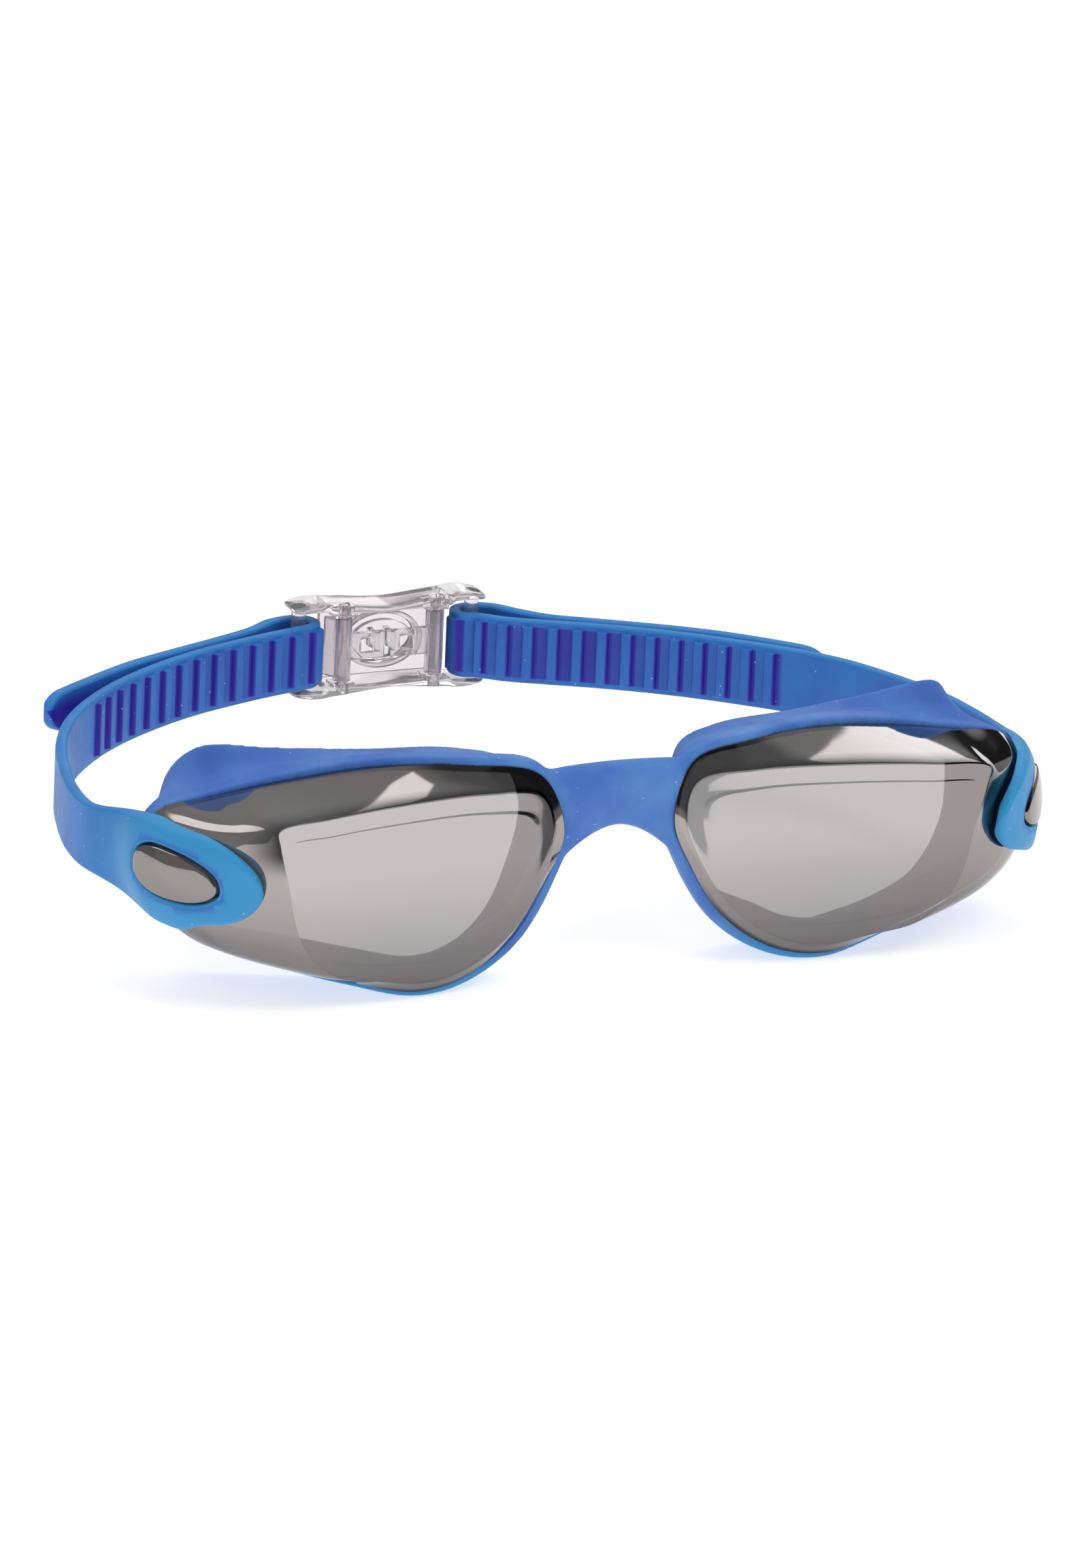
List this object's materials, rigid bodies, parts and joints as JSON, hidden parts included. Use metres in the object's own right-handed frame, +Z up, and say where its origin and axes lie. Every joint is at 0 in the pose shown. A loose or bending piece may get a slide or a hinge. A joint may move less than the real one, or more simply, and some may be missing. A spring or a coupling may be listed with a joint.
{
  "type": "swim goggles",
  "caption": "Swim goggles with wraparound mirrored lenses in a one-piece silicone seal, keyed strap pads and a clear push-button strap buckle.",
  "frame": {"origin": "centre of the bounding box in plan, at the height of the lowest point of the silicone seal", "axes": "+Z up, the lenses look towards -Y, the strap runs back to +Y, +X towards the wearer's left eye"},
  "size_m": [0.165, 0.1236, 0.0385],
  "materials": {
    "mirror_lens": "smoke-brown polycarbonate with a bright silver-bronze mirror coat, very smooth",
    "seal_silicone": "soft satin silicone, periwinkle blue",
    "strap_silicone": "soft satin silicone, azure blue",
    "clear_plastic": "clear moulded polycarbonate, glossy, faintly pink"
  },
  "bodies": {
    "goggles": {"lens_left": "mirror_lens", "lens_right": "mirror_lens", "seal_frame": "seal_silicone", "strap_left": "strap_silicone", "strap_right": "strap_silicone", "buckle_frame": "clear_plastic", "pivot_pin_left": "clear_plastic", "pivot_pin_right": "clear_plastic"},
    "button": {"release_button": "clear_plastic"},
    "pawl_l": {"pawl_left": "clear_plastic"},
    "pawl_r": {"pawl_right": "clear_plastic"}
  },
  "joints": [
    {"name": "button_press", "type": "slide", "parent": "goggles", "child": "button", "axis": [0, -1, 0], "range_m": [0, 0.0011], "stiffness_N_per_m": 400, "springref_m": -0.001},
    {"name": "pawl_left_pivot", "type": "hinge", "parent": "goggles", "child": "pawl_l", "pos_m": [-0.00679, 0.05524, 0.022], "axis": [0, 0, 1], "range_deg": [-9.2, 0]},
    {"name": "pawl_right_pivot", "type": "hinge", "parent": "goggles", "child": "pawl_r", "pos_m": [0.01001, 0.05524, 0.022], "axis": [0, 0, 1], "range_deg": [0, 9.2]}
  ],
  "couplings": [
    {"joint": "pawl_left_pivot", "follows": "button_press", "rad_per_m": -142.8},
    {"joint": "pawl_right_pivot", "follows": "button_press", "rad_per_m": 142.8}
  ]
}
